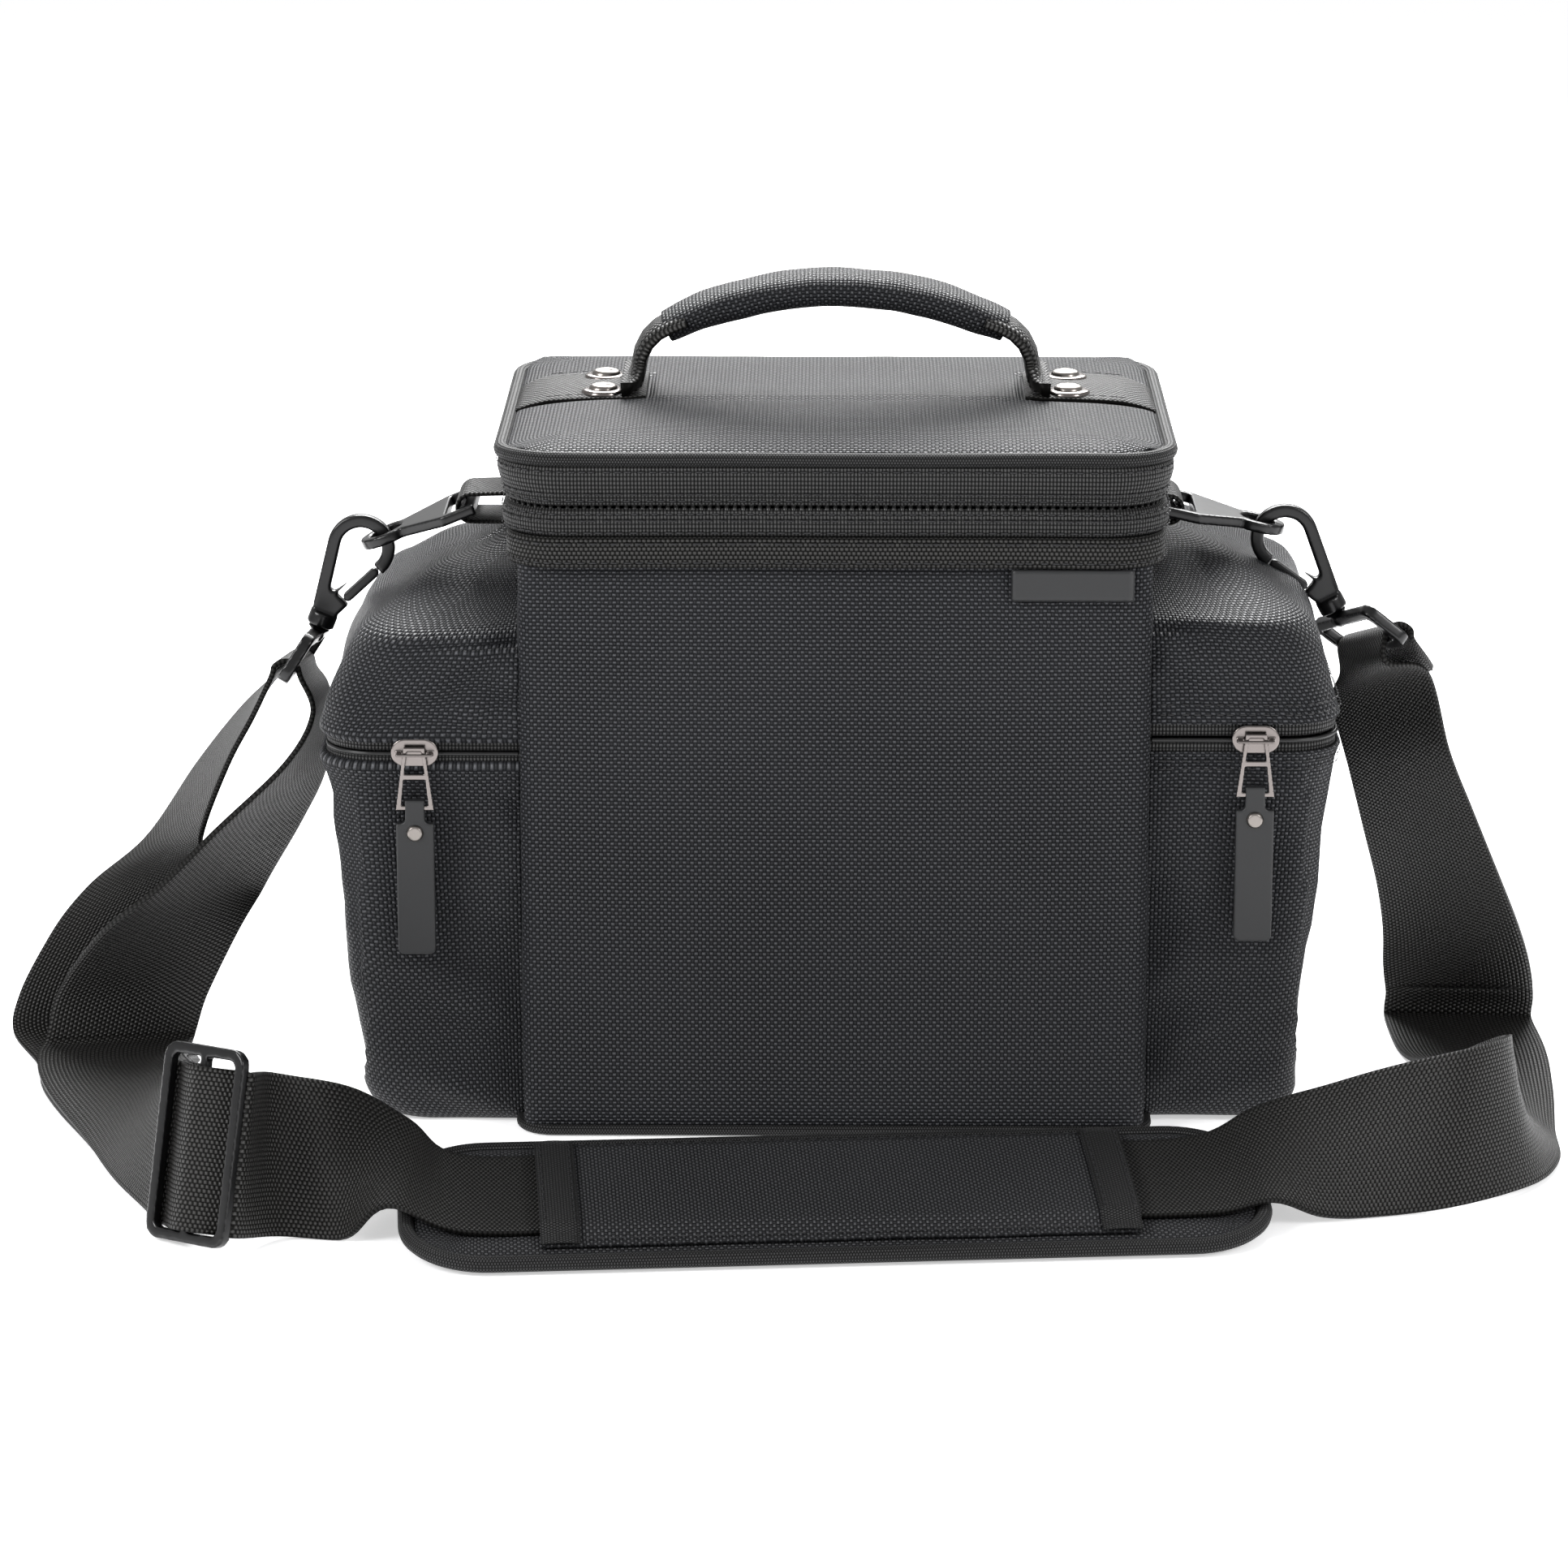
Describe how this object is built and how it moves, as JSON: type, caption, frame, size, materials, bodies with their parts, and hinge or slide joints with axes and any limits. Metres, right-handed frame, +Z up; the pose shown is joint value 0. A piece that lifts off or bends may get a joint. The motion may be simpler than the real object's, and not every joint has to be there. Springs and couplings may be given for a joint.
{
  "type": "shoulder camera bag",
  "caption": "Soft padded camera bag with a zipped hinged lid, carry handle, zipped side pockets, snap hooks, sliding zip pulls and a long webbing shoulder strap with a pad.",
  "frame": {"origin": "middle of the base on the floor", "axes": "+Z up, the front with the blank name patch faces -Y, the lid hinge is at +Y, +X is the right side seen from the front"},
  "size_m": [0.5142, 0.2798, 0.266],
  "materials": {
    "shell_cloth": "woven basket-weave nylon, matt",
    "base_cloth": "coated cloth, matt",
    "piping": "folded binding, matt",
    "foam": "closed-cell foam",
    "lining": "brushed lining",
    "webbing": "ribbed webbing, slight sheen",
    "zip_tape": "herringbone tape",
    "zip_coil": "moulded coil",
    "black_metal": "satin black over cast zinc",
    "gun_metal": "gunmetal plate",
    "bright_metal": "nickel plate",
    "pull_rubber": "matt moulded rubber",
    "pad_cloth": "stitched pad cloth",
    "grip_cloth": "wrapped cloth"
  },
  "bodies": {
    "bag": {"front_panel": "shell_cloth", "back_panel": "shell_cloth", "left_side_panel": "shell_cloth", "right_side_panel": "shell_cloth", "base_panel": "base_cloth", "base_piping": "piping", "base_padding": "foam", "wall_padding": "foam", "inner_lining": "lining", "padded_divider": "foam", "rim_band": "webbing", "lower_zip_tape": "zip_tape", "lower_zip_coil": "zip_coil", "lid_hinge_cloth": "shell_cloth", "name_patch": "shell_cloth", "left_pocket_tub": "shell_cloth", "right_pocket_tub": "shell_cloth", "left_pocket_lower_tape": "zip_tape", "right_pocket_lower_tape": "zip_tape", "left_ring_loop": "webbing", "right_ring_loop": "webbing", "shoulder_strap": "webbing", "strap_buckle": "black_metal", "shoulder_pad": "pad_cloth", "pad_sleeve": "grip_cloth"},
    "lid": {"lid_panel": "shell_cloth", "lid_padding": "foam", "lid_piping": "piping", "upper_zip_tape": "zip_tape", "upper_zip_coil": "zip_coil", "lid_webbing": "webbing", "handle_rivets": "bright_metal", "rivet_backplates": "gun_metal"},
    "handle": {"handle_webbing": "webbing", "handle_grip": "grip_cloth", "handle_core": "foam"},
    "left_pocket_cover": {"left_pocket_hood": "shell_cloth", "left_pocket_upper_tape": "zip_tape"},
    "left_pocket_slide": {"left_pocket_slider": "gun_metal"},
    "left_pocket_wire": {"left_pocket_link": "gun_metal"},
    "left_pull": {"left_pull_tab": "pull_rubber", "left_pull_rivet": "bright_metal"},
    "left_main_slide": {"left_main_slider": "gun_metal"},
    "left_main_wire": {"left_main_link": "gun_metal"},
    "left_clip": {"left_strap_ring": "black_metal", "left_bail": "black_metal"},
    "left_hook": {"left_snap_hook": "black_metal"},
    "left_gate": {"left_hook_gate": "black_metal"},
    "right_pocket_cover": {"right_pocket_hood": "shell_cloth", "right_pocket_upper_tape": "zip_tape"},
    "right_pocket_slide": {"right_pocket_slider": "gun_metal"},
    "right_pocket_wire": {"right_pocket_link": "gun_metal"},
    "right_pull": {"right_pull_tab": "pull_rubber", "right_pull_rivet": "bright_metal"},
    "right_main_slide": {"right_main_slider": "gun_metal"},
    "right_main_wire": {"right_main_link": "gun_metal"},
    "right_clip": {"right_strap_ring": "black_metal", "right_bail": "black_metal"},
    "right_hook": {"right_snap_hook": "black_metal"},
    "right_gate": {"right_hook_gate": "black_metal"}
  },
  "joints": [
    {"name": "lid_hinge", "type": "hinge", "parent": "bag", "child": "lid", "pos_m": [0, 0.0756, 0.206], "axis": [-1, 0, 0], "range_deg": [0, 105]},
    {"name": "handle_tilt", "type": "hinge", "parent": "lid", "child": "handle", "pos_m": [0, 0.014, 0.2306], "axis": [1, 0, 0], "range_deg": [-50, 50], "deforming": ["handle_webbing"]},
    {"name": "left_pocket_lift", "type": "hinge", "parent": "bag", "child": "left_pocket_cover", "pos_m": [-0.101, 0, 0.1812], "axis": [0, 1, 0], "range_deg": [0, 30]},
    {"name": "left_clip_swing", "type": "hinge", "parent": "bag", "child": "left_clip", "pos_m": [-0.1175, 0, 0.192], "axis": [0, 1, 0], "range_deg": [0, 45], "deforming": ["shoulder_strap"]},
    {"name": "left_hook_swivel", "type": "hinge", "parent": "left_clip", "child": "left_hook", "pos_m": [-0.1665, 0, 0.1545], "axis": [0.3738, 0, 0.9275], "range_deg": [-10, 10]},
    {"name": "left_hook_gate_hinge", "type": "hinge", "parent": "left_hook", "child": "left_gate", "pos_m": [-0.15872, 0, 0.16001], "axis": [0, -1, 0], "range_deg": [0, 20], "stiffness_Nm_per_rad": 0.02},
    {"name": "left_pocket_zip_run", "type": "slide", "parent": "bag", "child": "left_pocket_slide", "axis": [-1, 0, 0], "range_m": [-0.012, 0.008]},
    {"name": "left_pocket_link_hinge", "type": "hinge", "parent": "left_pocket_slide", "child": "left_pocket_wire", "pos_m": [-0.1325, -0.0722, 0.1255], "axis": [-1, 0, 0], "range_deg": [0, 110]},
    {"name": "left_pull_hinge", "type": "hinge", "parent": "left_pocket_wire", "child": "left_pull", "pos_m": [-0.1325, -0.0709, 0.1082], "axis": [-1, 0, 0], "range_deg": [0, 70]},
    {"name": "left_main_zip_run", "type": "slide", "parent": "bag", "child": "left_main_slide", "axis": [0, -1, 0], "range_m": [0, 0.016]},
    {"name": "left_main_link_hinge", "type": "hinge", "parent": "left_main_slide", "child": "left_main_wire", "pos_m": [-0.109, 0.046, 0.206], "axis": [0, 1, 0], "range_deg": [0, 100]},
    {"name": "right_pocket_lift", "type": "hinge", "parent": "bag", "child": "right_pocket_cover", "pos_m": [0.101, 0, 0.1812], "axis": [0, -1, 0], "range_deg": [0, 30]},
    {"name": "right_clip_swing", "type": "hinge", "parent": "bag", "child": "right_clip", "pos_m": [0.1075, 0, 0.192], "axis": [0, -1, 0], "range_deg": [0, 45], "deforming": ["shoulder_strap"]},
    {"name": "right_hook_swivel", "type": "hinge", "parent": "right_clip", "child": "right_hook", "pos_m": [0.1605, 0, 0.16], "axis": [-0.4749, 0, 0.88], "range_deg": [-10, 10]},
    {"name": "right_hook_gate_hinge", "type": "hinge", "parent": "right_hook", "child": "right_gate", "pos_m": [0.15215, 0, 0.1646], "axis": [0, 1, 0], "range_deg": [0, 20], "stiffness_Nm_per_rad": 0.02},
    {"name": "right_pocket_zip_run", "type": "slide", "parent": "bag", "child": "right_pocket_slide", "axis": [1, 0, 0], "range_m": [-0.012, 0.008]},
    {"name": "right_pocket_link_hinge", "type": "hinge", "parent": "right_pocket_slide", "child": "right_pocket_wire", "pos_m": [0.1325, -0.0722, 0.1305], "axis": [-1, 0, 0], "range_deg": [0, 110]},
    {"name": "right_pull_hinge", "type": "hinge", "parent": "right_pocket_wire", "child": "right_pull", "pos_m": [0.1325, -0.0709, 0.1132], "axis": [-1, 0, 0], "range_deg": [0, 70]},
    {"name": "right_main_zip_run", "type": "slide", "parent": "bag", "child": "right_main_slide", "axis": [0, -1, 0], "range_m": [0, 0.016]},
    {"name": "right_main_link_hinge", "type": "hinge", "parent": "right_main_slide", "child": "right_main_wire", "pos_m": [0.109, 0.046, 0.206], "axis": [0, -1, 0], "range_deg": [0, 100]}
  ],
  "couplings": [
    {"joint": "left_clip_swing", "follows": "left_pocket_lift", "ratio": 1.5},
    {"joint": "right_clip_swing", "follows": "right_pocket_lift", "ratio": 1.5}
  ]
}
